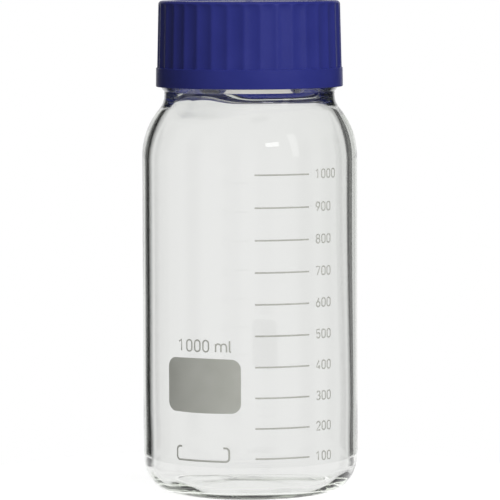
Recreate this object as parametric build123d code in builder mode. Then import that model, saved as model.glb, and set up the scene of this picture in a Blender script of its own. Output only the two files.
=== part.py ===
from build123d import *
import math
import os

# Wide-mouth laboratory media bottle with a fluted screw cap.
# Millimetres, +Z up. The origin is the centre of the standing plane, and the print faces -Y.

# Bottle body
BODY_R = 50.5
WALL = 3.4
STANDING_R = 36.5  # outer edge of the flat ring that the bottle stands on
STANDING_WIDTH = 1.6
HEEL_H = 16.5
HEEL_LOW_R = 12.5  # the heel is two tangent arcs, this one and a wider one above it
PUSH_UP = 3.0  # rise of the underside at its centre
FLOOR_Z = 6.0  # lowest level of the inside
FLOOR_SLOPE = 7.2  # of the crowned floor at its edge, in degrees
INNER_HEEL_R = 13.6

# Shoulder: a convex arc off the body, then a concave arc into the neck
SHOULDER_Z = 157.7
SHOULDER_R = 34.6
NECK_FILLET_R = 10.0
NECK_R = 40.0
INNER_SHOULDER_R = 39.1
INNER_FILLET_R = 28.2
THROAT_Z = 196.9  # where the straight bore starts to flare

# Finish: the threaded part of the neck, from its bead up to the rim
BEAD_R = 41.9
BEAD_LOW_Z = 188.3
BEAD_SIDE_Z = 189.3
BEAD_SIDE_TOP_Z = 192.6
BEAD_HIGH_Z = 194.2
BEAD_HIGH_R = 39.6
THREAD_ROOT_R = 38.4
THREAD_ROOT_Z = 196.2
THREAD_END_Z = 215.6
RIM_OUTER_R = 37.4
RIM_BORE_R = 33.6
RIM_Z = 224.2
SNAP_Z = 218.0  # middle of the groove that holds the pouring ring
SNAP_HALF = 0.7
SNAP_DEPTH = 0.5
RIM_STEPS = 4  # chamfers that round the rim

# Pouring ring
RING_OUTER_R = 38.3
RING_LOW_Z = 216.9
LIP_TOP_Z = 225.0
LIP_R = 38.85
LIP_EDGE = 0.5  # thickness of the drip edge
RING_BORE_R = 33.0
RING_TOP_R = 2.2  # rounding of its top edge towards the bore

# Seal: a silicone pad with a thin fluoropolymer facing bonded under it
SEAL_GAP = 0.05
FACING_T = 0.35
PAD_T = 1.85
FACING_R = 38.2
PAD_R = 38.7
PAD_BEAD_W = 3.2  # thicker outer bead that is clamped on the ring
PAD_WEB_T = 1.25

# Screw cap
CAP_TOP_Z = 230.6
CAP_CORNER_R = 1.8
GRIP_TOP_R = 42.6
GRIP_LOW_R = 43.3
GRIP_LOW_Z = 199.5
BAND_R = 43.75
BAND_LOW_R = 43.85
BAND_LOW_Z = 190.45
BAND_EDGE = 0.35
SKIRT_BORE_R = 42.5  # clears the bead of the neck
SKIRT_BORE_Z = 193.8
BORE_R = 40.6
BORE_Z = 195.2
POCKET_R = 39.2
POCKET_Z = 222.6
DISH_R = 36.0
DISH_DEPTH = 0.4
FLUTES = 35
FLUTE_R = 14.0  # radius of each scallop
FLUTE_DEPTH = 0.62
FLUTE_PHASE = -93.3  # direction of one ridge, in degrees from +X


def shoulder_arcs(body_r, neck_r, convex_r, concave_r):
    """Turning angle in degrees and height of the S-curve between two radii."""
    turn = math.acos(1 - (body_r - neck_r) / (convex_r + concave_r))
    return math.degrees(turn), (convex_r + concave_r) * math.sin(turn)


def arc_points(centre_r, centre_z, radius, start, turn, steps):
    """Points along a circular arc of the profile, both ends included, angles in degrees."""
    angles = [math.radians(start + turn * i / steps) for i in range(steps + 1)]
    return [(centre_r + radius * math.cos(a), centre_z + radius * math.sin(a)) for a in angles]


def dome_points(edge_r, edge_z, rise, steps):
    """Points of a shallow dome from the axis to its edge."""
    radii = [edge_r * i / steps for i in range(steps + 1)]
    return [(r, edge_z + rise * (1 - (r / edge_r) ** 2)) for r in radii]


def heel_arcs(width, height, low_r):
    """Turning angle in degrees of the lower arc of a heel, and the radius of the upper one."""
    turn = math.pi / 2 - 2 * math.atan((width - low_r) / (height - low_r))
    return math.degrees(turn), low_r + (height - low_r) / math.cos(turn)


# Glass bottle: one closed profile, outside then inside, turned about Z
outer_turn, outer_rise = shoulder_arcs(BODY_R, NECK_R, SHOULDER_R, NECK_FILLET_R)
inner_body_r = BODY_R - WALL
inner_turn, inner_rise = shoulder_arcs(inner_body_r, RIM_BORE_R, INNER_SHOULDER_R, INNER_FILLET_R)
neck_z = SHOULDER_Z + outer_rise
inner_shoulder_z = THROAT_Z - inner_rise
inner_centre_r = inner_body_r - INNER_SHOULDER_R
inner_standing_r = STANDING_R - STANDING_WIDTH
heel_turn, heel_high_r = heel_arcs(BODY_R - STANDING_R, HEEL_H, HEEL_LOW_R)
rim_half = (RIM_OUTER_R - RIM_BORE_R) / 2
rim_mid_r = (RIM_OUTER_R + RIM_BORE_R) / 2
rim_mid_z = RIM_Z - rim_half
rim = arc_points(rim_mid_r, rim_mid_z, rim_half, 0, 180, RIM_STEPS)
snap = [
    (RIM_OUTER_R, SNAP_Z - SNAP_HALF),
    (RIM_OUTER_R - SNAP_DEPTH, SNAP_Z),
    (RIM_OUTER_R, SNAP_Z + SNAP_HALF),
]
inner_heel_x = inner_body_r - INNER_HEEL_R
inner_heel_z = FLOOR_Z + INNER_HEEL_R
floor_slope = math.radians(FLOOR_SLOPE)
floor_edge_r = inner_heel_x - INNER_HEEL_R * math.sin(floor_slope)
floor_edge_z = inner_heel_z - INNER_HEEL_R * math.cos(floor_slope)
floor_crown = floor_edge_r * math.tan(floor_slope / 2)

with BuildPart() as glass_bottle:
    with BuildSketch(Plane.XZ):
        with BuildLine():
            # Underside, standing ring and heel
            Polyline(
                *dome_points(inner_standing_r, 0, PUSH_UP, 3),
                *arc_points(STANDING_R, HEEL_LOW_R, HEEL_LOW_R, 270, heel_turn, 4),
                *arc_points(BODY_R - heel_high_r, HEEL_H, heel_high_r, heel_turn - 90, 90 - heel_turn, 4)[1:],
                (BODY_R, SHOULDER_Z),
            )
            # Shoulder
            CenterArc((BODY_R - SHOULDER_R, SHOULDER_Z), SHOULDER_R, 0, outer_turn)
            CenterArc((NECK_R + NECK_FILLET_R, neck_z), NECK_FILLET_R, 180, outer_turn)
            # Neck, bead, thread land, snap groove and rounded rim
            Polyline(
                (NECK_R, neck_z),
                (NECK_R, BEAD_LOW_Z),
                (BEAD_R, BEAD_SIDE_Z),
                (BEAD_R, BEAD_SIDE_TOP_Z),
                (BEAD_HIGH_R, BEAD_HIGH_Z),
                (THREAD_ROOT_R, THREAD_ROOT_Z),
                (THREAD_ROOT_R, THREAD_END_Z),
                (RIM_OUTER_R, THREAD_END_Z + THREAD_ROOT_R - RIM_OUTER_R),
                *snap,
                *rim,
                # Inner shoulder, inner wall, inner heel and crowned floor
                *arc_points(RIM_BORE_R + INNER_FILLET_R, THROAT_Z, INNER_FILLET_R, 180, inner_turn, 5),
                *arc_points(inner_centre_r, inner_shoulder_z, INNER_SHOULDER_R, inner_turn, -inner_turn, 6)[1:],
                *arc_points(inner_heel_x, inner_heel_z, INNER_HEEL_R, 0, -90 - FLOOR_SLOPE, 7),
                *dome_points(floor_edge_r, floor_edge_z, floor_crown, 2)[-2::-1],
                (0, PUSH_UP),
            )
        make_face()
    revolve(axis=Axis.Z)

# Pouring ring: a snap-on ring wrapped over the glass rim, with a drip edge round its top
with BuildPart() as pouring_ring:
    with BuildSketch(Plane.XZ):
        with BuildLine():
            Polyline(
                *rim[::-1],
                *snap[::-1],
                (RIM_OUTER_R, RING_LOW_Z),
                (RING_OUTER_R, RING_LOW_Z),
                (RING_OUTER_R, LIP_TOP_Z - 3 * LIP_EDGE),
                (LIP_R, LIP_TOP_Z - LIP_EDGE),
                (LIP_R, LIP_TOP_Z),
                *arc_points(RING_BORE_R + RING_TOP_R, LIP_TOP_Z - RING_TOP_R, RING_TOP_R, 90, 90, 2),
                (RING_BORE_R, rim_mid_z),
                close=True,
            )
        make_face()
    revolve(axis=Axis.Z)

# Seal facing: the thin disc that touches the ring and the contents
facing_z = LIP_TOP_Z + SEAL_GAP
pad_z = facing_z + FACING_T
with BuildPart() as seal_facing:
    with BuildSketch(Plane.XY.offset(facing_z)):
        Circle(FACING_R)
    extrude(amount=FACING_T)

# Seal pad: a disc with a thicker outer bead
with BuildPart() as seal_pad:
    with BuildSketch(Plane.XY.offset(pad_z)):
        Circle(PAD_R)
    extrude(amount=PAD_T)
    with BuildSketch(Plane.XY.offset(pad_z + PAD_WEB_T)):
        Circle(PAD_R - PAD_BEAD_W)
    extrude(amount=PAD_T - PAD_WEB_T, mode=Mode.SUBTRACT)

# Screw cap: a turned shell, then the scallops of the grip
plate_z = pad_z + PAD_T + SEAL_GAP
draft = math.degrees(math.atan2(GRIP_LOW_R - GRIP_TOP_R, CAP_TOP_Z - GRIP_LOW_Z))
with BuildPart() as screw_cap:
    with BuildSketch(Plane.XZ):
        with BuildLine():
            Polyline(
                (0, plate_z),
                (0, CAP_TOP_Z - DISH_DEPTH),
                (DISH_R, CAP_TOP_Z - DISH_DEPTH),
                (DISH_R + DISH_DEPTH, CAP_TOP_Z),
                *arc_points(GRIP_TOP_R - CAP_CORNER_R, CAP_TOP_Z - CAP_CORNER_R, CAP_CORNER_R, 90, -90, 3),
                (GRIP_LOW_R, GRIP_LOW_Z),
                (BAND_R, GRIP_LOW_Z - BAND_EDGE),
                (BAND_LOW_R, BAND_LOW_Z + BAND_EDGE),
                (BAND_LOW_R - BAND_EDGE, BAND_LOW_Z),
                (SKIRT_BORE_R, BAND_LOW_Z),
                (SKIRT_BORE_R, SKIRT_BORE_Z),
                (BORE_R, BORE_Z),
                (BORE_R, POCKET_Z),
                (POCKET_R, POCKET_Z),
                (POCKET_R, plate_z),
                (0, plate_z),
            )
        make_face()
    revolve(axis=Axis.Z)
    with Locations((0, 0, GRIP_LOW_Z)):
        with PolarLocations(
            GRIP_LOW_R - FLUTE_DEPTH + FLUTE_R, FLUTES, FLUTE_PHASE + 180 / FLUTES
        ):
            Cylinder(
                FLUTE_R,
                2 * (CAP_TOP_Z - GRIP_LOW_Z),
                rotation=(0, -draft, 0),
                align=(Align.CENTER, Align.CENTER, Align.MIN),
                mode=Mode.SUBTRACT,
            )

glass_bottle.part.label = "glass_bottle"
pouring_ring.part.label = "pouring_ring"
seal_facing.part.label = "seal_facing"
seal_pad.part.label = "seal_pad"
screw_cap.part.label = "screw_cap"

os.makedirs("parts", exist_ok=True)
export_step(glass_bottle.part, "parts/glass_bottle.step")
export_step(pouring_ring.part, "parts/pouring_ring.step")
export_step(seal_facing.part, "parts/seal_facing.step")
export_step(seal_pad.part, "parts/seal_pad.step")
export_step(screw_cap.part, "parts/screw_cap.step")
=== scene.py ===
"""Looks of a wide-mouth laboratory media bottle with a fluted screw cap.

Each sub-assembly is a class that builds its meshes in place and dresses them. Sizes are in
millimetres in the classes and become metres when a mesh is made.
"""

import logging
import math
from collections.abc import Callable, Iterable, Sequence
from dataclasses import dataclass, field
from enum import Enum

import bmesh
import bpy
from mathutils import Matrix, Vector


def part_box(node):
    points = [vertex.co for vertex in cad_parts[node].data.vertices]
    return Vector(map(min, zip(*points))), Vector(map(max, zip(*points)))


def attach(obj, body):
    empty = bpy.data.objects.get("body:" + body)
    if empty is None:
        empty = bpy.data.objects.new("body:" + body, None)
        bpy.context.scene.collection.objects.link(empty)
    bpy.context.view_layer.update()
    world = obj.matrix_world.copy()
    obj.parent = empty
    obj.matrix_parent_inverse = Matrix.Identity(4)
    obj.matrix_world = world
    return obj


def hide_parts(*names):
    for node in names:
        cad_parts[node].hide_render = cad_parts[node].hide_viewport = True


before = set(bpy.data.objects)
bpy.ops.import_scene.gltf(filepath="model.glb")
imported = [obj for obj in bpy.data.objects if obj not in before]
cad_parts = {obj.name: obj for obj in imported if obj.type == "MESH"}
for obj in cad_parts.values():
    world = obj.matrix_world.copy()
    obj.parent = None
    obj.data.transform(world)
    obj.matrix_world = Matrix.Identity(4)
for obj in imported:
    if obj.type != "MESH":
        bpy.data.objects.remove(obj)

LOG = logging.getLogger("media_bottle")
MM = 0.001
WELD = 1e-7  # metres within which two points are one
ON_WALL = 0.02  # millimetres within which a point is on a wall

Point = tuple[float, float]
Colour = tuple[float, float, float]
Mesh = bmesh.types.BMesh
Material = bpy.types.Material
Node = bpy.types.Node
Socket = bpy.types.NodeSocket


class Body(Enum):
    """The bodies that pieces ride on."""

    GLASS = "glass"
    SEAL = "seal"
    CAP = "cap"


class Ray(Enum):
    """The kinds of ray that the world and the floor answer apart, by their Light Path output."""

    CAMERA = "Is Camera Ray"
    GLOSSY = "Is Glossy Ray"
    TRANSMISSION = "Is Transmission Ray"
    SHADOW = "Is Shadow Ray"


def linear(red: int, green: int, blue: int) -> Colour:
    """Turn a display colour into the linear one that shaders use.

    Args:
        red: Red, from 0 to 255.
        green: Green, from 0 to 255.
        blue: Blue, from 0 to 255.

    Returns:
        The linear colour.
    """
    shares = (red / 255, green / 255, blue / 255)
    return tuple(c / 12.92 if c <= 0.04045 else ((c + 0.055) / 1.055) ** 2.4 for c in shares)


def smooth_step(low: float, high: float, value: float) -> float:
    """Rise smoothly from 0 at low to 1 at high, where high may be the smaller."""
    share = min(max((value - low) / (high - low), 0.0), 1.0)
    return share * share * (3 - 2 * share)


def direction(azimuth: float, elevation: float) -> Vector:
    """Point away from the axis.

    Args:
        azimuth: Degrees from the front, -Y, towards +X.
        elevation: Degrees above the level.

    Returns:
        The unit vector.
    """
    turn, rise = math.radians(azimuth), math.radians(elevation)
    level = math.cos(rise)
    return Vector((math.sin(turn) * level, -math.cos(turn) * level, math.sin(rise)))


# --- sections and meshes


@dataclass
class Section:
    """A half-section in the plane of radius and height, drawn as one run of points."""

    points: list[Point] = field(default_factory=list)

    def to(self, *points: Point) -> "Section":
        """Go on in straight lines."""
        for point in points:
            if not self.points or math.dist(self.points[-1], point) > 1e-6:
                self.points.append(point)
        return self

    def fine(self, end: Point, step: float) -> "Section":
        """Go on in a straight line that has a point about every step."""
        start = self.points[-1]
        count = max(1, round(math.dist(start, end) / step))
        wide, high = end[0] - start[0], end[1] - start[1]
        shares = (i / count for i in range(1, count + 1))
        return self.to(*((start[0] + wide * share, start[1] + high * share) for share in shares))

    def arc(self, centre: Point, radii: Point, start: float, turn: float, steps: int = 12) -> "Section":
        """Go on along an arc of a circle or an ellipse.

        Args:
            centre: The arc's centre.
            radii: Its radius along the radius and along the height.
            start: Its first direction in degrees.
            turn: The degrees that it turns, negative for clockwise.
            steps: The straight runs that it is made of.

        Returns:
            The section itself.
        """
        angles = (math.radians(start + turn * i / steps) for i in range(steps + 1))
        (x, z), (wide, high) = centre, radii
        return self.to(*((x + wide * math.cos(a), z + high * math.sin(a)) for a in angles))

    def spun(self, steps: int, closed: bool = False, phase: float = 0.0) -> Mesh:
        """Turn the section about the axis.

        Args:
            steps: The steps of a full turn.
            closed: Whether the last point joins the first.
            phase: The direction in degrees from +X of the first column of points.

        Returns:
            The turned mesh, in metres, with its faces outwards.
        """
        bm = bmesh.new()
        verts = [bm.verts.new((r * MM, 0, z * MM)) for r, z in self.points]
        pairs = list(zip(verts, verts[1:])) + ([(verts[-1], verts[0])] if closed else [])
        edges = [bm.edges.new(pair) for pair in pairs]
        bmesh.ops.rotate(bm, verts=verts, cent=(0, 0, 0), matrix=Matrix.Rotation(math.radians(phase), 3, "Z"))
        turn = {"cent": (0, 0, 0), "axis": (0, 0, 1), "angle": math.tau}
        bmesh.ops.spin(bm, geom=verts + edges, steps=steps, use_merge=True, **turn)
        return tidy(bm)


def tidy(bm: Mesh) -> Mesh:
    """Merge doubles, drop faces with no area and turn the rest outwards."""
    bmesh.ops.remove_doubles(bm, verts=bm.verts, dist=WELD)
    bmesh.ops.dissolve_degenerate(bm, dist=WELD, edges=bm.edges)
    bmesh.ops.recalc_face_normals(bm, faces=bm.faces)
    return bm


def shift_radius(bm: Mesh, offset: Callable[[float, float, float], float]) -> None:
    """Move points along their own radius.

    Args:
        bm: The mesh.
        offset: The new radius for a radius, an angle in radians and a height, all in millimetres.
    """
    for vert in bm.verts:
        radius = math.hypot(vert.co.x, vert.co.y)
        if radius > MM:
            new = offset(radius / MM, math.atan2(vert.co.y, vert.co.x), vert.co.z / MM) * MM
            vert.co.x *= new / radius
            vert.co.y *= new / radius


def add_object(name: str, data: bpy.types.ID) -> bpy.types.Object:
    """Add an object to the scene."""
    added = bpy.data.objects.new(name, data)
    bpy.context.scene.collection.objects.link(added)
    return added


def finish_piece(
    bm: Mesh,
    name: str,
    body: Body,
    material: Material,
    replaces: Sequence[str] = (),
    sharp: float = 30.0,
) -> bpy.types.Object:
    """Turn a mesh into a dressed piece that rides on its body.

    Args:
        bm: The mesh, in place, which is used up.
        name: The piece's name.
        body: The body that carries it.
        material: Its finish.
        replaces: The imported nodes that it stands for.
        sharp: The angle in degrees past which an edge stays crisp.

    Returns:
        The new object.
    """
    mesh = bpy.data.meshes.new(name)
    bm.to_mesh(mesh)
    bm.free()
    mesh.shade_smooth()
    mesh.set_sharp_from_angle(angle=math.radians(sharp))
    mesh.materials.append(material)
    piece = add_object(name, mesh)
    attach(piece, body.value)
    if replaces:
        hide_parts(*replaces)
    LOG.info("%s: %d faces on %s", name, len(mesh.polygons), body.value)
    return piece


# --- finishes


class Nodes:
    """A node tree under construction."""

    def __init__(self, tree: bpy.types.NodeTree) -> None:
        """Start from an empty tree."""
        self.tree = tree
        tree.nodes.clear()

    def add(self, kind: str, inputs: dict[str, object] | None = None, **settings: object) -> Node:
        """Add a node.

        Args:
            kind: The node's type, without its ShaderNode prefix.
            inputs: Plain values, or nodes and outputs to link, by socket name.
            **settings: The node's own properties.

        Returns:
            The node.
        """
        node = self.tree.nodes.new("ShaderNode" + kind)
        for name, value in settings.items():
            setattr(node, name, value)
        for name, value in (inputs or {}).items():
            self.feed(node.inputs[name], value)
        return node

    def feed(self, socket: Socket, value: object) -> None:
        """Link a node or an output to a socket, or give it a plain value."""
        if isinstance(value, Node):
            value = value.outputs[0]
        if isinstance(value, Socket):
            self.tree.links.new(value, socket)
        elif isinstance(value, tuple) and socket.type == "RGBA":
            socket.default_value = (*value, 1)
        else:
            socket.default_value = value

    def feed_all(self, node: Node, *values: object) -> Node:
        """Feed a node's sockets in their order."""
        for socket, value in zip(node.inputs, values):
            self.feed(socket, value)
        return node

    def maths(self, operation: str, *values: object) -> Socket:
        """Work out one step of arithmetic on outputs or numbers."""
        return self.feed_all(self.add("Math", operation=operation), *values).outputs[0]

    def object_coordinates(self) -> Socket:
        """Give the place on the piece, in metres."""
        return self.add("TexCoord").outputs["Object"]

    def split(self, vector: Socket) -> bpy.types.bpy_prop_collection:
        """Give a vector's X, Y and Z outputs."""
        return self.add("SeparateXYZ", {"Vector": vector}).outputs

    def noise(
        self, scale: float, detail: float = 2.0, stretch: Vector = Vector((1, 1, 1))
    ) -> Socket:
        """Give cloudy noise on the piece.

        Args:
            scale: Clouds to a metre.
            detail: Octaves of finer noise.
            stretch: How much faster it changes along each axis.

        Returns:
            The noise, about 0 to 1.
        """
        place = self.add("Mapping", {"Vector": self.object_coordinates(), "Scale": stretch})
        inputs = {"Vector": place.outputs[0], "Scale": scale, "Detail": detail}
        return self.add("TexNoise", inputs).outputs[0]

    def ranged(self, value: object, source: Point, target: Point = (0, 1)) -> Socket:
        """Stretch one range of a value over another, held at both ends."""
        ends = {"From Min": source[0], "From Max": source[1], "To Min": target[0], "To Max": target[1]}
        return self.add("MapRange", {"Value": value, **ends}).outputs[0]

    def spread(self, noise: Socket, target: Point = (0, 1)) -> Socket:
        """Stretch the middle of a noise over a range."""
        return self.ranged(noise, (0.3, 0.7), target)

    def mix(self, share: object, first: object, second: object) -> Socket:
        """Mix from the first colour or number to the second."""
        kind, sockets, out = ("RGBA", (0, 6, 7), 2) if isinstance(first, tuple) else ("FLOAT", (0, 2, 3), 0)
        node = self.add("Mix", data_type=kind)
        for index, value in zip(sockets, (share, first, second)):
            self.feed(node.inputs[index], value)
        return node.outputs[out]

    def bump(self, height: Socket, depth: object) -> Socket:
        """Tilt the surface by a height of up to depth metres."""
        return self.add("Bump", {"Height": height, "Distance": depth}).outputs[0]

    def is_ray(self, *kinds: Ray) -> Socket:
        """Give 1 on rays of these kinds."""
        path = self.add("LightPath")
        total = path.outputs[kinds[0].value]
        for kind in kinds[1:]:
            total = self.maths("MAXIMUM", total, path.outputs[kind.value])
        return total

    def choose(self, share: object, first: Node, second: Node) -> Node:
        """Mix from the first shader to the second."""
        return self.feed_all(self.add("MixShader"), share, first, second)


def new_finish(name: str) -> tuple[Material, Nodes]:
    """Start a material with an empty node tree."""
    material = bpy.data.materials.new(name)
    material.use_nodes = True
    return material, Nodes(material.node_tree)


@dataclass(frozen=True)
class ClearGlass:
    """Polished blown glass: it bends light, tints it with depth and ripples slightly."""

    index: float = 1.473
    tint: Colour = (0.50, 0.545, 0.45)
    density: float = 25.0  # absorption to a metre where the tint is black
    ripple_scale: float = 22.0
    ripple_depth: float = 0.00012  # metres
    foot_ripple: float = 0.006  # depth on the base and heel, where the glass sagged on its mould
    foot_z: float = 12.0  # millimetres, the top of that ripple
    shadow: float = 0.86  # share of lamp light that goes through

    def make(self) -> Material:
        """Build the material."""
        material, nodes = new_finish("clear_glass")
        ripple = nodes.noise(self.ripple_scale, 1.0, Vector((1, 1, 0.35)))
        low = nodes.maths("LESS_THAN", nodes.split(nodes.object_coordinates())["Z"], self.foot_z * MM)
        depth = nodes.ranged(low, (0, 1), (self.ripple_depth, self.foot_ripple))
        glass = nodes.add(
            "BsdfPrincipled",
            {
                "Base Color": (1.0, 1.0, 1.0),
                "Roughness": 0.0,
                "IOR": self.index,
                "Transmission Weight": 1.0,
                "Normal": nodes.bump(ripple, depth),
            },
        )
        clear = nodes.add("BsdfTransparent", {"Color": (self.shadow,) * 3})
        surface = nodes.choose(nodes.is_ray(Ray.SHADOW), glass, clear)
        volume = nodes.add("VolumeAbsorption", {"Color": self.tint, "Density": self.density})
        nodes.add("OutputMaterial", {"Surface": surface, "Volume": volume})
        return material


@dataclass(frozen=True)
class SolidFinish:
    """An opaque finish with a slightly cloudy colour, uneven gloss and a fine surface."""

    name: str
    dark: Colour
    light: Colour
    cloud_scale: float
    gloss: Point  # lowest and highest roughness
    grain_scale: float
    grain_depth: float
    specular: float = 0.5
    scatter: float = 0.0  # share of light that goes through the skin
    glow: float = 0.0  # painted glow: it gives off its own colour, as a share of its colour, standing in for light that would soak through it
    painted_glow_r: float = 0.0  # millimetres from the axis beyond which it doesn't glow, 0 for no limit
    painted_glow_z: float = 0.0  # millimetres above which it doesn't

    def painted_glow_share(self, nodes: Nodes) -> Socket | float:
        """Give the strength of the painted glow."""
        if not self.painted_glow_r:
            return self.glow
        place = nodes.split(nodes.object_coordinates())
        squares = [nodes.maths("MULTIPLY", place[axis], place[axis]) for axis in "XY"]
        radius = nodes.maths("SQRT", nodes.maths("ADD", *squares))
        inside = nodes.maths("LESS_THAN", radius, self.painted_glow_r * MM)
        below = nodes.maths("LESS_THAN", place["Z"], self.painted_glow_z * MM)
        return nodes.maths("MULTIPLY", nodes.maths("MULTIPLY", inside, below), self.glow)

    def make(self) -> Material:
        """Build the material."""
        material, nodes = new_finish(self.name)
        cloud = nodes.noise(self.cloud_scale, 3.0)
        grain = nodes.noise(self.grain_scale, 2.0)
        colour = nodes.mix(nodes.spread(cloud), self.dark, self.light)
        surface = nodes.add(
            "BsdfPrincipled",
            {
                "Base Color": colour,
                # painted glow: the surface gives off its own colour at the strength below, though it is no
                # lamp
                "Emission Color": colour,
                "Emission Strength": self.painted_glow_share(nodes),
                "Roughness": nodes.spread(cloud, self.gloss),
                "Specular IOR Level": self.specular,
                "Subsurface Weight": self.scatter,
                "Subsurface Scale": 0.002,
                "Normal": nodes.bump(grain, self.grain_depth),
            },
        )
        nodes.add("OutputMaterial", {"Surface": surface})
        return material


CAP_PLASTIC = SolidFinish(
    "cap_plastic",
    dark=linear(45, 51, 131),
    light=linear(49, 55, 138),
    cloud_scale=60,
    gloss=(0.36, 0.44),
    grain_scale=2600,
    grain_depth=0.000012,
    # painted glow on the cap's inside, within 41.2 mm of the axis and below 224 mm, brightening the blue seen
    # through the glass neck
    glow=0.6,
    painted_glow_r=41.2,
    painted_glow_z=224.0,
)
RING_PLASTIC = SolidFinish(
    "ring_plastic",
    dark=linear(44, 52, 124),
    light=linear(50, 60, 134),
    cloud_scale=90,
    gloss=(0.3, 0.38),
    grain_scale=1800,
    grain_depth=0.00001,
)
ENAMEL = SolidFinish(
    "enamel_print",
    dark=linear(172, 173, 166),
    light=linear(181, 182, 176),
    cloud_scale=90,
    gloss=(0.5, 0.62),
    grain_scale=4000,
    grain_depth=0.00001,
    specular=0.35,
)
SILICONE = SolidFinish(
    "seal_rubber",
    dark=linear(190, 96, 74),
    light=linear(204, 112, 88),
    cloud_scale=70,
    gloss=(0.5, 0.6),
    grain_scale=3000,
    grain_depth=0.00002,
    scatter=0.1,
)
FACING_FILM = SolidFinish(
    "seal_facing",
    dark=linear(226, 223, 214),
    light=linear(236, 233, 225),
    cloud_scale=50,
    gloss=(0.25, 0.35),
    grain_scale=900,
    grain_depth=0.000012,
    # painted glow over the whole film, which gives the bright line seen just under the cap
    glow=0.6,
)


# --- thread


@dataclass
class Thread:
    """Helical ridges that stand on a plain cylinder as part of its own wall."""

    root_r: float
    crest_r: float
    low_z: float
    high_z: float
    width: float  # at the foot of a ridge
    offset: float = 0.0  # height of the first ridge's middle at angle 0
    lead: float = 20.0  # rise of one full turn
    starts: int = 4
    run_out: float = 1.6  # height over which a ridge fades at its ends

    @property
    def pitch(self) -> float:
        """Height from one ridge to the next."""
        return self.lead / self.starts

    def height(self, angle: float, z: float) -> float:
        """Give how far the ridge stands off its wall.

        Args:
            angle: Radians about the axis.
            z: Height in millimetres.

        Returns:
            The share of its full height, 0 to 1.
        """
        along = (z - self.offset - self.lead * angle / math.tau) % self.pitch
        away = min(along, self.pitch - along)
        low = smooth_step(self.low_z, self.low_z + self.run_out, z)
        high = smooth_step(self.high_z, self.high_z - self.run_out, z)
        return smooth_step(self.width / 2, self.width / 5, away) * min(low, high)

    def radius(self, radius: float, angle: float, z: float) -> float:
        """Give the wall's radius with the ridges on it, for shift_radius."""
        if abs(radius - self.root_r) > ON_WALL or not self.low_z < z < self.high_z:
            return radius
        return radius + (self.crest_r - self.root_r) * self.height(angle, z)


# --- glass


def shoulder(body_r: float, neck_r: float, convex_r: float, concave_r: float) -> tuple[float, float]:
    """Give the turn in degrees and the rise of the S-curve between two radii."""
    turn = math.acos(1 - (body_r - neck_r) / (convex_r + concave_r))
    return math.degrees(turn), (convex_r + concave_r) * math.sin(turn)


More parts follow.
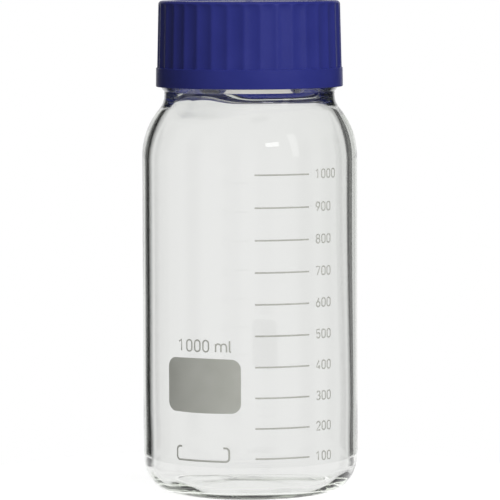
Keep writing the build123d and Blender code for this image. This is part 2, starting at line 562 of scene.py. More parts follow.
@dataclass
class GlassBottle:
    """The blown bottle: heel, barrel, shoulder, collar, threaded finish and rim."""

    body_r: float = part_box("glass_bottle")[1].x / MM
    rim_z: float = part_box("glass_bottle")[1].z / MM
    wall: float = 3.4
    heel_ring_r: float = 36.5
    standing_width: float = 1.6
    heel_h: float = 16.5
    push_up: float = 3.0
    floor_z: float = 4.6  # lowest level of the inside
    floor_slope: float = 6.5  # of the crowned floor at its edge, in degrees
    inner_heel: Point = (9.0, 10.0)  # its reach inwards and upwards
    shoulder_z: float = 157.7
    shoulder_r: float = 34.6
    neck_fillet_r: float = 10.0
    collar_r: float = 40.0
    inner_shoulder_r: float = 39.1
    inner_fillet_r: float = 28.2
    throat: Point = (33.6, 195.8)  # where the straight bore starts to flare
    bead_r: float = 41.9  # bead between the neck and the thread
    bead_low_z: float = 188.5
    bead_side_z: Point = (190.6, 192.2)  # its upright side
    bead_high_z: float = 193.8
    bead_fillet: float = 0.4
    bead_corner: float = 0.45
    bead_slope: float = 65.0  # of its underside, in degrees from the upright
    bead_land: Point = (0.9, 0.6)  # how far out and up from it the thread's land starts
    thread_root: Point = (38.4, 196.2)
    thread_crest_r: float = 39.9
    thread_low_z: float = 199.8
    thread_end_z: float = 215.6
    thread_width: float = 2.3
    rim_outer_r: float = 37.4
    rim_bore_r: float = 33.6
    snap_z: float = 218.0
    snap_half: float = 0.7
    snap_depth: float = 0.5
    thin_r: float = 0.35  # how much thinner the real wall runs
    lean_r: float = 1.1  # how much thicker it gets at +X near the shoulder
    lean_z: Point = (25.0, 140.0)  # between which that grows
    even_z: Point = (158.0, 188.0)  # between which both die away
    thin_rise: float = 15.0
    throat_drop: float = 4.5  # how much lower the inside starts to flare left of the front
    throat_z: Point = (172.0, 186.0)  # between which that sets in
    throat_side: tuple[float, ...] = (-66.0, -46.0, -34.0, 4.0)  # degrees towards +X where it fades
    steps: int = 288
    run: float = 12.0  # longest straight run of the barrel
    thread_step: float = 0.36
    soft_foot: float = 0.35  # small rounding of the standing ring's edges

    @staticmethod
    def dome(half: float, edge_z: float, rise: float, steps: int = 14) -> list[Point]:
        """Give a shallow dome's points from the axis to its edge.

        Args:
            half: The dome's radius.
            edge_z: The height of its edge.
            rise: How much higher its middle is.
            steps: The runs along it.

        Returns:
            The points.
        """
        shares = [i / steps for i in range(steps + 1)]
        return [(half * share, edge_z + rise * (1 - share**2)) for share in shares]

    def outside(self, section: Section) -> None:
        """Draw the underside, heel, barrel, shoulder and collar."""
        foot, ring = self.soft_foot, self.heel_ring_r
        inner_r = ring - self.standing_width
        turn, rise = shoulder(self.body_r, self.collar_r, self.shoulder_r, self.neck_fillet_r)
        section.to(*self.dome(inner_r - foot, foot * 0.4, self.push_up - foot * 0.4))
        section.to((inner_r, 0.0), (ring, 0.0))
        section.arc((ring, self.heel_h), (self.body_r - ring, self.heel_h), 270, 90, 24)
        section.fine((self.body_r, self.shoulder_z), self.run)
        section.arc((self.body_r - self.shoulder_r, self.shoulder_z), (self.shoulder_r,) * 2, 0, turn, 20)
        centre = (self.collar_r + self.neck_fillet_r, self.shoulder_z + rise)
        section.arc(centre, (self.neck_fillet_r,) * 2, 180 + turn, -turn, 10)
        self.bead(section)

    def bead(self, section: Section) -> None:
        """Draw the bead: a small fillet off the neck, a sloping underside and an upright side."""
        foot, corner, slope = self.bead_fillet, self.bead_corner, self.bead_slope
        (side_z, top_z), foot_z = self.bead_side_z, self.bead_low_z - foot
        section.to((self.collar_r, foot_z))
        section.arc((self.collar_r + foot, foot_z), (foot, foot), 180, -slope, 5)
        section.arc((self.bead_r - corner, side_z), (corner, corner), -slope, slope, 5)
        section.to((self.bead_r, top_z))
        section.arc((self.collar_r, top_z), (self.bead_r - self.collar_r, self.bead_high_z - top_z), 0, 70, 8)
        section.to((self.thread_root[0] + self.bead_land[0], self.bead_high_z + self.bead_land[1]))

    def finish(self, section: Section) -> None:
        """Draw the thread land, the snap groove and the rim."""
        root_r, root_z = self.thread_root
        half = (self.rim_outer_r - self.rim_bore_r) / 2
        mid = (self.rim_outer_r - half, self.rim_z - half)
        section.to((root_r, root_z))
        section.fine((root_r, self.thread_end_z), self.thread_step)
        section.to((self.rim_outer_r, self.thread_end_z + root_r - self.rim_outer_r))
        section.to((self.rim_outer_r, self.snap_z - self.snap_half))
        section.to((self.rim_outer_r - self.snap_depth, self.snap_z))
        section.to((self.rim_outer_r, self.snap_z + self.snap_half), (self.rim_outer_r, mid[1]))
        section.arc(mid, (half, half), 0, 180, 14)

    def inside(self, section: Section) -> None:
        """Draw the bore, throat, inner shoulder, inner wall, inner heel and crowned floor."""
        inner_r = self.body_r - self.wall
        throat_r, throat_z = self.throat
        turn, rise = shoulder(inner_r, throat_r, self.inner_shoulder_r, self.inner_fillet_r)
        section.fine(self.throat, 3.0)
        section.arc((throat_r + self.inner_fillet_r, throat_z), (self.inner_fillet_r,) * 2, 180, turn, 24)
        low_z = throat_z - rise
        section.arc((inner_r - self.inner_shoulder_r, low_z), (self.inner_shoulder_r,) * 2, turn, -turn, 20)
        (wide, high), slope = self.inner_heel, math.radians(self.floor_slope)
        centre = (inner_r - wide, self.floor_z + high)
        end = math.atan(math.tan(slope) * wide / high)
        section.fine((inner_r, centre[1]), self.run)
        section.arc(centre, self.inner_heel, 0, -90 - math.degrees(end), 30)
        edge_r = centre[0] - wide * math.sin(end)
        floor = self.dome(edge_r, centre[1] - high * math.cos(end), edge_r * math.tan(slope / 2))
        section.to(*reversed(floor))

    def inner_radius(self, z: float) -> float:
        """Give the inside's radius above the heel, before any unevenness."""
        inner_r, (throat_r, throat_z) = self.body_r - self.wall, self.throat
        turn, rise = shoulder(inner_r, throat_r, self.inner_shoulder_r, self.inner_fillet_r)
        low_z = throat_z - rise
        if z >= throat_z:
            return throat_r
        if z <= low_z:
            return inner_r
        convex_r, concave_r = self.inner_shoulder_r, self.inner_fillet_r
        if z < low_z + convex_r * math.sin(math.radians(turn)):
            return inner_r - convex_r + math.sqrt(convex_r**2 - (z - low_z) ** 2)
        return throat_r + concave_r - math.sqrt(concave_r**2 - (throat_z - z) ** 2)

    def uneven(self, radius: float, angle: float, z: float) -> float:
        """Give the blown inside's slightly uneven radius, and leave the moulded outside alone."""
        low_z = self.lean_z[0]
        if z < low_z or abs(radius - self.inner_radius(z)) > ON_WALL:
            return radius
        side = math.degrees(math.asin(math.cos(angle)))
        start, full, end, gone = self.throat_side
        drop = self.throat_drop * smooth_step(start, full, side) * smooth_step(gone, end, side)
        drop *= smooth_step(*self.throat_z, z)
        lean = self.lean_r * max(0.0, math.cos(angle)) * smooth_step(*self.lean_z, z)
        lean -= self.thin_r * smooth_step(low_z, low_z + self.thin_rise, z)
        return self.inner_radius(z + drop) - lean * (1 - smooth_step(*self.even_z, z))

    def build(self, glass: Material) -> None:
        """Build the bottle with its thread and dress it in glass."""
        section = Section()
        self.outside(section)
        self.finish(section)
        self.inside(section)
        heights = (self.thread_low_z, self.thread_end_z - 0.4)
        thread = Thread(self.thread_root[0], self.thread_crest_r, *heights, self.thread_width)
        bm = section.spun(self.steps)
        shift_radius(bm, self.uneven)
        shift_radius(bm, thread.radius)
        finish_piece(bm, "bottle_glass", Body.GLASS, glass, ["glass_bottle"], sharp=50)


@dataclass
class PouringRing:
    """The snap ring over the glass rim, with a drip edge round its top."""

    outer_r: float = 38.3
    low_z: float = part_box("pouring_ring")[0].z / MM
    top_z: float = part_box("pouring_ring")[1].z / MM
    lip_r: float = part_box("pouring_ring")[1].x / MM
    lip_edge: float = 0.5
    bore_r: float = 33.0
    rim_mid: Point = (35.5, 222.3)
    rim_half: float = 1.93
    sleeve_r: float = 37.43
    snap_z: float = 218.0
    snap_half: float = 0.7
    snap_depth: float = 0.45
    steps: int = 180

    def build(self, plastic: Material) -> None:
        """Build the ring."""
        mid_r, mid_z = self.rim_mid
        edge = 0.12
        section = Section()
        section.to((self.sleeve_r, mid_z), (self.sleeve_r, self.snap_z + self.snap_half))
        section.to((self.sleeve_r - self.snap_depth, self.snap_z))
        section.to((self.sleeve_r, self.snap_z - self.snap_half))
        section.to((self.sleeve_r, self.low_z + edge), (self.sleeve_r + edge, self.low_z))
        section.to((self.outer_r - edge, self.low_z), (self.outer_r, self.low_z + edge))
        section.to((self.outer_r, self.top_z - 3 * self.lip_edge))
        section.to((self.lip_r, self.top_z - self.lip_edge), (self.lip_r, self.top_z - edge))
        section.to((self.lip_r - edge, self.top_z), (mid_r, self.top_z))
        section.arc((mid_r, mid_z), (mid_r - self.bore_r, self.top_z - mid_z), 90, 90, 10)
        section.to((mid_r - self.rim_half, mid_z))
        section.arc((mid_r, mid_z), (self.rim_half, self.rim_half), 180, -180, 12)
        bm = section.spun(self.steps, closed=True)
        finish_piece(bm, "ring", Body.GLASS, plastic, ["pouring_ring"])


# --- print


@dataclass
class Stroke:
    """One pen stroke on a field one unit high."""

    points: list[Point]
    closed: bool = False


@dataclass
class Lettering:
    """Draws rows of figures as pen strokes of one width."""

    figure_w: float = 0.54  # between the middles of a figure's sides, for a height of 1
    advance: float = 0.835
    letter_h: float = 0.72
    letter_w: float = 0.50
    space: float = 0.38
    arc_steps: int = 14

    def bow(self, centre: Point, radii: Point, start: float, turn: float) -> list[Point]:
        """Give the points of an arc."""
        return Section().arc(centre, radii, start, turn, self.arc_steps).points

    def ring(self, middle: float, half: float, width: float) -> Stroke:
        """Give a closed oval, straight-sided where it is tall."""
        radius = width / 2
        centre = self.figure_w / 2
        flat = max(half - radius, 0.0)
        radii = (radius, min(half, radius))
        top = self.bow((centre, middle + flat), radii, 0, 180)
        return Stroke(top + self.bow((centre, middle - flat), radii, 180, 180), closed=True)

    def strokes(self, sign: str) -> tuple[list[Stroke], float]:
        """Give a sign's strokes and how far it moves the pen on.

        Args:
            sign: A figure, m, l or a space.

        Returns:
            Its strokes, and its advance.
        """
        w = self.figure_w
        c, r = w / 2, w / 2
        h, m, f = self.letter_h, self.letter_w, self.letter_w / 2
        three = self.bow((c, 0.755), (r - 0.02, 0.245), 155, -245)
        three += self.bow((c, 0.265), (r, 0.265), 90, -245)
        five = [(w - 0.04, 1.0), (0.06, 1.0), (0.03, 0.52)] + self.bow((c, 0.31), (r, 0.31), 128, -285)
        drawn: dict[str, list[Stroke]] = {
            "0": [self.ring(0.5, 0.5, w)],
            "1": [Stroke([(-0.02, 0.80), (0.25, 1.0), (0.25, 0.0)])],
            "2": [Stroke(self.bow((c, 1 - r), (r, r), 172, -205) + [(0.0, 0.0), (w, 0.0)])],
            "3": [Stroke(three)],
            "4": [Stroke([(0.36, 1.0), (0.0, 0.24), (w + 0.03, 0.24)]), Stroke([(0.40, 0.46), (0.40, 0.0)])],
            "5": [Stroke(five)],
            "6": [self.ring(0.29, 0.29, w), Stroke([(0.38, 1.0), (0.035, 0.40)])],
            "7": [Stroke([(0.0, 1.0), (w, 1.0), (0.16, 0.0)])],
            "8": [self.ring(0.765, 0.235, w - 0.06), self.ring(0.27, 0.27, w)],
            "9": [self.ring(0.71, 0.29, w), Stroke([(w - 0.035, 0.60), (0.16, 0.0)])],
            "m": [
                Stroke([(0.0, 0.0), (0.0, h)]),
                Stroke([(0.0, h - f)] + self.bow((f, h - f), (f, f), 180, -180) + [(m, 0.0)]),
                Stroke([(m, h - f)] + self.bow((m + f, h - f), (f, f), 180, -180) + [(2 * m, 0.0)]),
            ],
            "l": [Stroke([(0.0, 1.0), (0.0, 0.16)] + self.bow((0.16, 0.16), (0.16, 0.16), 180, 80))],
            " ": [],
        }
        widths = {"m": 2 * m + 0.28, "l": 0.3, " ": self.space}
        return drawn[sign], widths.get(sign, self.advance)

    def row(self, text: str, start: Point, height: float) -> list[Stroke]:
        """Write a row.

        Args:
            text: The signs.
            start: The left end of the strokes' lowest line, in millimetres.
            height: The height between the strokes' middles, in millimetres.

        Returns:
            The strokes, in millimetres.
        """
        (pen, low), row = start, []
        for sign in text:
            strokes, advance = self.strokes(sign)
            for stroke in strokes:
                points = [(pen + x * height, low + y * height) for x, y in stroke.points]
                row.append(Stroke(points, stroke.closed))
            pen += advance * height
        return row


@dataclass
class EnamelPrint:
    """The fired print on the front of the barrel: scale, capacity, writing block and frame."""

    barrel_r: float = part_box("glass_bottle")[1].x / MM
    proud: float = -0.004  # how far the enamel stands beyond the barrel, kept inside its box
    thickness: float = 0.08
    first_z: float = 20.7
    first_rise: float = 13.9  # from the first mark to the second
    rise_growth: float = 0.07
    mark_count: int = 10
    mark_volume: int = 100
    mark_from: float = 2.5  # degrees from the front
    mark_to: float = 32.6
    mark_width: float = 0.74
    number_from: float = 37.2
    number_h: float = 3.95
    number_pen: float = 0.64
    number_lift: float = 0.1  # of the numbers' middle over their mark
    capacity_from: float = -40.4
    capacity_z: float = 70.0
    capacity_h: float = 5.2
    capacity_pen: float = 0.74
    block_from: float = -48.1
    block_to: float = -5.2
    block_low_z: float = 41.8
    block_high_z: float = 66.5
    block_corner_r: float = 4.2
    block_bulge: float = 0.35
    block_columns: int = 24
    frame_from: float = -42.1
    frame_to: float = -11.3
    frame_low_z: float = 19.3
    frame_high_z: float = 25.6
    frame_corner_r: float = 1.7
    frame_hook: float = 1.1  # length of the two top ends past their corners
    frame_pen: float = 0.88
    facet: float = 0.9  # widest run along the barrel
    widest: float = 60.0  # degrees from the front past which nothing is printed
    lettering: Lettering = field(default_factory=Lettering)

    def arc_length(self, degrees: float) -> float:
        """Turn an angle into millimetres along the barrel."""
        return self.barrel_r * math.radians(degrees)

    def mark_z(self, index: int) -> float:
        """Give the height of a mark, counted from 0 at the bottom."""
        return self.first_z + self.first_rise * index + self.rise_growth * index**2

    @staticmethod
    def cut(bm: Mesh, places: Iterable[float]) -> None:
        """Cut a flat print at these places along X."""
        for x in places:
            geom = bm.verts[:] + bm.edges[:] + bm.faces[:]
            bmesh.ops.bisect_plane(bm, geom=geom, dist=1e-5, plane_co=(x, 0, 0), plane_no=(1, 0, 0))

    def wrap(self, bm: Mesh) -> Mesh:
        """Cut a flat print into narrow strips and lay it round the barrel.

        Args:
            bm: The print, flat in X and Y with its thickness along Z, in millimetres.

        Returns:
            The same mesh, in place, in metres.
        """
        reach = math.ceil(self.arc_length(self.widest) / self.facet)
        self.cut(bm, (self.facet * step for step in range(-reach, reach)))
        top = self.barrel_r + self.proud
        for vert in bm.verts:
            turn, radius = vert.co.x / self.barrel_r, (top + vert.co.z) * MM
            vert.co = (radius * math.sin(turn), -radius * math.cos(turn), vert.co.y * MM)
        return tidy(bm)

    def slab(self, bm: Mesh, low: Point, high: Point) -> list[bmesh.types.BMVert]:
        """Add a flat rectangle to a mesh.

        Args:
            bm: The mesh.
            low: Its lower left corner.
            high: Its upper right corner.

        Returns:
            Its corners.
        """
        centre = ((low[0] + high[0]) / 2, (low[1] + high[1]) / 2, 0)
        made = bmesh.ops.create_grid(bm, x_segments=1, y_segments=1, size=0.5)["verts"]
        bmesh.ops.scale(bm, verts=made, vec=(high[0] - low[0], high[1] - low[1], 1))
        bmesh.ops.translate(bm, verts=made, vec=centre)
        return made

    def thicken(self, bm: Mesh) -> None:
        """Give a flat mesh the enamel's thickness, down into the glass."""
        bmesh.ops.recalc_face_normals(bm, faces=bm.faces)
        lower = bmesh.ops.extrude_face_region(bm, geom=bm.faces[:])["geom"]
        verts = [item for item in lower if isinstance(item, bmesh.types.BMVert)]
        bmesh.ops.translate(bm, verts=verts, vec=(0, 0, -self.thickness))

    def pen_mesh(self, strokes: Iterable[Stroke], pen: float) -> Mesh:
        """Draw strokes as flat rounded ridges.

        Args:
            strokes: The strokes, in millimetres.
            pen: Their width.

        Returns:
            The flat mesh.
        """
        curve = bpy.data.curves.new("strokes", "CURVE")
        curve.dimensions = "3D"
        curve.bevel_depth = pen / 2
        curve.bevel_resolution = 2
        curve.use_fill_caps = True
        for stroke in strokes:
            spline = curve.splines.new("POLY")
            spline.points.add(len(stroke.points) - 1)
            for point, (x, y) in zip(spline.points, stroke.points):
                point.co = (x, y, 0, 1)
            spline.use_cyclic_u = stroke.closed
        drawn = add_object("strokes", curve)
        mesh = bpy.data.meshes.new_from_object(drawn.evaluated_get(bpy.context.evaluated_depsgraph_get()))
        bm = bmesh.new()
        bm.from_mesh(mesh)
        bpy.data.objects.remove(drawn)
        bpy.data.meshes.remove(mesh)
        bmesh.ops.scale(bm, verts=bm.verts, vec=(1, 1, self.thickness / pen))
        bmesh.ops.translate(bm, verts=bm.verts, vec=(0, 0, -self.thickness / 2))
        return bm

    def marks(self) -> Mesh:
        """Draw the scale's lines."""
        bm = bmesh.new()
        left, right = self.arc_length(self.mark_from), self.arc_length(self.mark_to)
        for index in range(self.mark_count):
            z = self.mark_z(index)
            self.slab(bm, (left, z - self.mark_width / 2), (right, z + self.mark_width / 2))
        self.thicken(bm)
        return self.wrap(bm)

    def numbers(self) -> Mesh:
        """Write the volume beside each line."""
        strokes: list[Stroke] = []
        for index in range(self.mark_count):
            low = self.mark_z(index) + self.number_lift - self.number_h / 2
            text = str(self.mark_volume * (index + 1))
            strokes += self.lettering.row(text, (self.arc_length(self.number_from), low), self.number_h)
        return self.wrap(self.pen_mesh(strokes, self.number_pen))

    def capacity(self) -> Mesh:
        """Write the full volume above the writing block."""
        text = f"{self.mark_count * self.mark_volume} ml"
        start = (self.arc_length(self.capacity_from), self.capacity_z)
        strokes = self.lettering.row(text, start, self.capacity_h)
        return self.wrap(self.pen_mesh(strokes, self.capacity_pen))

    def block(self) -> Mesh:
        """Draw the block for writing on: a rectangle with round corners and slightly full sides."""
        bm = bmesh.new()
        left, right = self.arc_length(self.block_from), self.arc_length(self.block_to)
        corners = self.slab(bm, (left, self.block_low_z), (right, self.block_high_z))
        corner = {"offset": self.block_corner_r, "offset_type": "OFFSET", "segments": 10, "profile": 0.5}
        bmesh.ops.bevel(bm, geom=corners, affect="VERTICES", material=-1, **corner)
        half_w, half_h = (right - left) / 2, (self.block_high_z - self.block_low_z) / 2
        middle = ((left + right) / 2, self.block_low_z + half_h)
        columns = self.block_columns
        self.cut(bm, (left + (right - left) * column / columns for column in range(1, columns)))
        for vert in bm.verts:
            across, up = (vert.co.x - middle[0]) / half_w, (vert.co.y - middle[1]) / half_h
            vert.co.y += math.copysign(self.block_bulge * (1 - across**2) * abs(up), up)
            vert.co.x += math.copysign(self.block_bulge * (1 - up**2) * abs(across), across)
        self.thicken(bm)
        return self.wrap(bm)

    def frame(self) -> Mesh:
        """Draw the round-cornered frame that is open at the top."""
        left, right = self.arc_length(self.frame_from), self.arc_length(self.frame_to)
        r, low, high, hook = self.frame_corner_r, self.frame_low_z, self.frame_high_z, self.frame_hook
        path = Section().to((left + r + hook, high))
        path.arc((left + r, high - r), (r, r), 90, 90, 8).arc((left + r, low + r), (r, r), 180, 90, 8)
        path.arc((right - r, low + r), (r, r), 270, 90, 8).arc((right - r, high - r), (r, r), 0, 90, 8)
        path.to((right - r - hook, high))
        return self.wrap(self.pen_mesh([Stroke(path.points)], self.frame_pen))

    def build(self, enamel: Material) -> None:
        """Build every part of the print."""
        parts = {
            "graduation_marks": self.marks,
            "graduation_numbers": self.numbers,
            "capacity_mark": self.capacity,
            "writing_block": self.block,
            "print_frame": self.frame,
        }
        for name, draw in parts.items():
            finish_piece(draw(), name, Body.GLASS, enamel, sharp=60)


# --- cap and seal


@dataclass
class ScrewCap:
    """The moulded cap: dished top, scalloped grip, smooth band, chamfered lip and inner thread."""

    top_z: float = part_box("screw_cap")[1].z / MM
    plate_z: float = 227.3
    corner_r: float = 1.8
    grip_top_r: float = 42.6
    grip_low: Point = (43.3, 199.5)
    band_r: float = 43.75
    band_low_r: float = 43.85
    band_low_z: float = 190.45
    band_edge: float = 0.35
    skirt_bore_r: float = 42.5
    skirt_bore_z: float = 193.8
    skirt_cone_h: float = 1.4
    bore_r: float = 40.6
    thread_crest_r: float = 39.0
    thread_z: Point = (199.0, 215.0)
    thread_width: float = 2.0
    thread_offset: float = 2.5
    pocket_r: float = 39.2
    pocket_z: float = 222.6
    dish_r: float = 36.0
    dish_depth: float = 0.4
    flutes: int = 35
    flute_r: float = 14.0
    flute_depth: float = 0.62
    flute_phase: float = -93.3
    columns_per_flute: int = 12
    fade_low_z: float = 228.2  # where the scallops start to run out towards the top
    fade_high_z: float = 230.2
    thread_step: float = 0.42
    gate_r: float = 1.6
    gate_h: float = 0.25

    def grip_r(self, z: float) -> float:
        """Give the drafted radius of the grip's ridges at a height."""
        low_r, low_z = self.grip_low
        return low_r + (self.grip_top_r - low_r) * (z - low_z) / (self.top_z - low_z)

    def scalloped(self, radius: float, angle: float, z: float) -> float:
        """Give the outer radius with the scallops cut in, for shift_radius."""
        if z < self.grip_low[1] - 0.01 or radius < self.dish_r + 2:
            return radius
        if radius < self.pocket_r + 1 and z < self.plate_z:
            return radius
        half = math.pi / self.flutes
        away = (angle - math.radians(self.flute_phase)) % (2 * half) - half
        centre = self.grip_r(z) - self.flute_depth + self.flute_r
        cut = centre * math.cos(away) - math.sqrt(self.flute_r**2 - (centre * math.sin(away)) ** 2)
        depth = max(self.grip_r(z) - cut, 0.0) * smooth_step(self.fade_high_z, self.fade_low_z, z)
        return min(radius, self.grip_r(z) - depth)

    def outside(self, section: Section) -> None:
        """Draw the dished top, the grip, the band and the lip."""
        dish_z = self.top_z - self.dish_depth
        corner = (self.grip_top_r - self.corner_r, self.top_z - self.corner_r)
        low_r, low_z = self.grip_low
        section.to((0, dish_z + self.gate_h), (self.gate_r, dish_z + self.gate_h))
        section.to((self.gate_r + self.gate_h, dish_z)).fine((self.dish_r, dish_z), 6.0)
        section.to((self.dish_r + self.dish_depth, self.top_z)).fine((corner[0], self.top_z), 1.2)
        section.arc(corner, (self.corner_r, self.corner_r), 90, -90, 12)
        section.fine((low_r, low_z), 1.6)
        section.to((self.band_r - 0.08, low_z - self.band_edge + 0.1), (self.band_r, low_z - self.band_edge))
        section.to((self.band_low_r, self.band_low_z + self.band_edge))
        lip = (self.band_low_r - self.band_edge, self.band_low_z + self.band_edge)
        section.arc(lip, (self.band_edge,) * 2, 0, -90, 4)

    def inside(self, section: Section) -> None:
        """Draw the bore, the pocket for the seal and the underside of the top."""
        section.to((self.skirt_bore_r + 0.2, self.band_low_z), (self.skirt_bore_r, self.band_low_z + 0.2))
        section.to((self.skirt_bore_r, self.skirt_bore_z))
        section.to((self.bore_r, self.skirt_bore_z + self.skirt_cone_h))
        section.to((self.bore_r, self.thread_z[0] - 0.5))
        section.fine((self.bore_r, self.thread_z[1] + 0.5), self.thread_step)
        section.to((self.bore_r, self.pocket_z), (self.pocket_r, self.pocket_z))
        section.to((self.pocket_r, self.plate_z), (0, self.plate_z))

    def build(self, plastic: Material) -> None:
        """Build the cap with its scallops and its thread."""
        section = Section()
        self.outside(section)
        self.inside(section)
        radii = (self.bore_r, self.thread_crest_r)
        thread = Thread(*radii, *self.thread_z, self.thread_width, self.thread_offset)
        bm = section.spun(self.flutes * self.columns_per_flute, phase=self.flute_phase)
        shift_radius(bm, self.scalloped)
        shift_radius(bm, thread.radius)
        finish_piece(bm, "fluted_cap", Body.CAP, plastic, ["screw_cap"], sharp=24)


@dataclass
class CapSeal:
    """The silicone pad with its clamped bead, and the facing film under it."""

    facing_low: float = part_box("seal_facing")[0].z / MM
    facing_high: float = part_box("seal_facing")[1].z / MM
    facing_r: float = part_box("seal_facing")[1].x / MM
    pad_low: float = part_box("seal_pad")[0].z / MM
    pad_high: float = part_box("seal_pad")[1].z / MM
    pad_r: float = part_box("seal_pad")[1].x / MM
    bead_w: float = 3.2
    web_t: float = 1.25
    pad_edge: float = 0.2
    run: float = 8.0  # longest straight run
    steps: int = 144

    def pad(self) -> Mesh:
        """Draw the pad, with a round-topped bead."""
        web_z, bead_r, edge = self.pad_low + self.web_t, self.bead_w / 2, self.pad_edge
        section = Section().to((0, self.pad_low)).fine((self.pad_r - edge, self.pad_low), self.run)
        section.arc((self.pad_r - edge, self.pad_low + edge), (edge, edge), 270, 90, 3)
        section.to((self.pad_r, web_z))
        section.arc((self.pad_r - bead_r, web_z), (bead_r, self.pad_high - web_z), 0, 180, 12)
        section.fine((0, web_z), self.run)
        return section.spun(self.steps)

    def facing(self) -> Mesh:
        """Draw the film, with a lightly rounded edge."""
        edge = (self.facing_high - self.facing_low) / 2
        section = Section().to((0, self.facing_low)).fine((self.facing_r - edge, self.facing_low), self.run)
        section.arc((self.facing_r - edge, self.facing_low + edge), (edge, edge), 270, 180, 6)
        section.fine((0, self.facing_high), self.run)
        return section.spun(self.steps)

    def build(self, rubber: Material, film: Material) -> None:
        """Build both layers."""
        finish_piece(self.pad(), "silicone_pad", Body.SEAL, rubber, ["seal_pad"], sharp=40)
        finish_piece(self.facing(), "facing_film", Body.SEAL, film, ["seal_facing"], sharp=40)


# --- studio


@dataclass(frozen=True)
class Panel:
    """A rectangular soft lamp that faces the bottle."""

    name: str
    azimuth: float  # degrees from the front towards +X
    elevation: float
    width: float  # metres
    height: float
    radiance: float
    distance: float = 1.6
    mirrored: bool = False  # whether it shows in glossy surfaces

    def place(self, target: Vector) -> None:
        """Add the lamp to the scene."""
        lamp = bpy.data.lights.new(self.name, "AREA")
        lamp.shape = "RECTANGLE"
        lamp.size, lamp.size_y = self.width, self.height
        lamp.energy = self.radiance * math.pi * self.width * self.height
        holder = add_object(self.name, lamp)
        holder.location = target + direction(self.azimuth, self.elevation) * self.distance
        holder.rotation_euler = (target - holder.location).to_track_quat("-Z", "Y").to_euler()
        holder.visible_glossy = self.mirrored
        holder.visible_transmission = holder.visible_camera = False


@dataclass(frozen=True)
class Screen:
    """A darker stretch of the surround, between two directions in degrees from the back of the set."""

    low: float
    high: float
    level: float
    soft: Point = (4, 4)  # degrees over which each edge fades


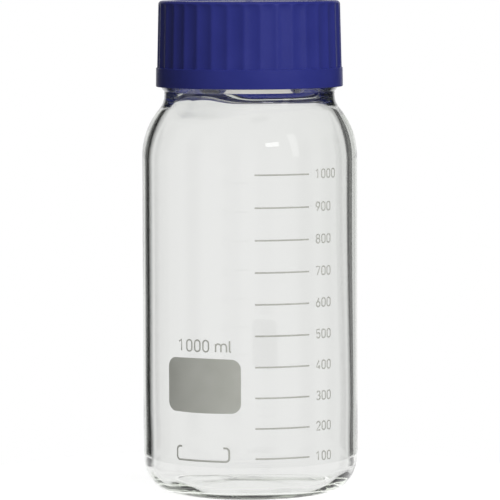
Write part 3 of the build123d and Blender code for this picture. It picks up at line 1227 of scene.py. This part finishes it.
@dataclass
class Studio:
    """Camera, floor, lamps and a white surround with dark screens beside the bottle."""

    aim: Vector = field(default_factory=lambda: Vector((0, 0, 0.11333)))
    camera_place: Vector = field(default_factory=lambda: Vector((0, -1.8774, 0.2588)))
    lens: float = 288.0
    sensor: float = 36.0
    roll: float = -0.2
    floor_r: float = 0.15
    floor_dark: Colour = (0.8342, 0.8342, 0.8342)
    floor_light: Colour = (0.86, 0.86, 0.86)
    floor_glow: float = 0.66  # stray light that it adds, but not to what the camera sees
    screens: tuple[Screen, ...] = (
        Screen(-44, -24.5, 0.02, (1.5, 7)),
        Screen(26.5, 42, 0.14, (1, 1.5)),
        Screen(-76, -62, 0.6),
        Screen(-118, -104, 0.6),
        Screen(104, 118, 0.6),
        Screen(152, 166, 0.6),
    )
    screen_top: Point = (0.5, 0.62)  # sines of the elevation between which the screens end
    screen_foot: Point = (-0.32, -0.22)
    open_top: float = 0.75  # brightness over the screens
    ambient: float = 0.2
    gloss_y: Point = (0.88, 0.94)  # between which the gloss goes from the front's to the back's
    gloss: Point = (0.05, 0.95)
    back_light: float = 0.91  # of the white surround as glass shows it
    panels: tuple[Panel, ...] = (
        Panel("key_softbox", 25, 18, 0.7, 0.7, 9.6),
        Panel("overhead_softbox", 10, 75, 0.9, 0.9, 2.4),
        Panel("window_panel", 25, 23.5, 0.39, 0.18, 5.0, mirrored=True),
        Panel("right_softbox", 50, 20, 0.24, 0.9, 1.5, mirrored=True),
    )

    def add_camera(self) -> None:
        """Add the camera and make it the scene's own."""
        camera = bpy.data.cameras.new("camera")
        camera.lens, camera.sensor_width = self.lens, self.sensor
        camera.clip_start, camera.clip_end = 0.1, 20
        holder = add_object("camera", camera)
        look = (self.aim - self.camera_place).to_track_quat("-Z", "Y").to_matrix().to_4x4()
        turn = Matrix.Rotation(math.radians(self.roll), 4, "Z")
        holder.matrix_world = Matrix.Translation(self.camera_place) @ look @ turn
        bpy.context.scene.camera = holder

    def add_floor(self) -> None:
        """Add the pale floor, which looks white to the camera and through glass but keeps the shadow."""
        bm = bmesh.new()
        bmesh.ops.create_circle(bm, cap_ends=True, segments=96, radius=self.floor_r)
        mesh = bpy.data.meshes.new("floor")
        bm.to_mesh(mesh)
        bm.free()
        material, nodes = new_finish("floor")
        mottle = nodes.mix(nodes.spread(nodes.noise(8.0)), self.floor_dark, self.floor_light)
        lit = nodes.add("BsdfDiffuse", {"Color": mottle})
        levels = (0.0, self.floor_glow, self.back_light)
        dark, glow, plain = (nodes.add("Emission", {"Strength": level}) for level in levels)
        added = nodes.choose(nodes.is_ray(Ray.CAMERA, Ray.GLOSSY), dark, glow)
        total = nodes.feed_all(nodes.add("AddShader"), lit, added)
        nodes.add("OutputMaterial", {"Surface": nodes.choose(nodes.is_ray(Ray.TRANSMISSION), total, plain)})
        mesh.materials.append(material)
        add_object("floor", mesh)

    def screen_ramp(self, nodes: Nodes, turn: Socket) -> Socket:
        """Give the surround's brightness round the bottle.

        Args:
            nodes: The world's tree.
            turn: The share of a full turn, 0 to 1, with the back of the set at a half.

        Returns:
            The brightness.
        """
        ramp = nodes.add("ValToRGB", {"Fac": turn})
        away, stops = self.back_light, []
        for screen in self.screens:
            low, high = screen.low - screen.soft[0], screen.high + screen.soft[1]
            stops += [(low, away), (screen.low, screen.level), (screen.high, screen.level), (high, away)]
        elements = ramp.color_ramp.elements
        for end in elements:
            end.color = (away, away, away, 1)
        for degrees, level in stops:
            elements.new(degrees / 360 + 0.5).color = (level, level, level, 1)
        return ramp.outputs[0]

    def add_world(self) -> None:
        """Light the set from all round, white behind the bottle and darker screens beside it."""
        world = bpy.data.worlds.new("surround")
        world.use_nodes = True
        bpy.context.scene.world = world
        nodes = Nodes(world.node_tree)
        way = nodes.split(nodes.add("TexCoord").outputs["Generated"])
        turn = nodes.maths("ARCTAN2", way["X"], way["Y"])
        turn = nodes.maths("MULTIPLY_ADD", turn, 1 / math.tau, 0.5)
        above = nodes.ranged(way["Z"], self.screen_top)
        through = nodes.mix(above, self.screen_ramp(nodes, turn), self.open_top)
        below = nodes.ranged(way["Z"], self.screen_foot, (self.back_light, 0.0))
        through = nodes.maths("MAXIMUM", through, below)
        mirrored = nodes.ranged(way["Y"], self.gloss_y, self.gloss)
        level = nodes.mix(nodes.is_ray(Ray.GLOSSY), self.ambient, mirrored)
        level = nodes.mix(nodes.is_ray(Ray.TRANSMISSION), level, through)
        level = nodes.mix(nodes.is_ray(Ray.CAMERA), level, 1.0)
        light = nodes.add("Background", {"Color": (1.0, 1.0, 1.0), "Strength": level})
        nodes.add("OutputWorld", {"Surface": light})

    def build(self) -> None:
        """Set up the whole studio."""
        bpy.context.scene.view_settings.view_transform = "Standard"
        cycles = bpy.context.scene.cycles
        cycles.max_bounces = cycles.transparent_max_bounces = 32
        cycles.glossy_bounces, cycles.transmission_bounces = 16, 28
        self.add_camera()
        self.add_floor()
        self.add_world()
        for panel in self.panels:
            panel.place(self.aim)


def main() -> None:
    """Build the bottle piece by piece in its studio."""
    logging.basicConfig(level=logging.INFO, format="%(name)s %(message)s")
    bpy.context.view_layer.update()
    Studio().build()
    GlassBottle().build(ClearGlass().make())
    EnamelPrint().build(ENAMEL.make())
    PouringRing().build(RING_PLASTIC.make())
    CapSeal().build(SILICONE.make(), FACING_FILM.make())
    ScrewCap().build(CAP_PLASTIC.make())


if __name__ == "__main__":
    main()
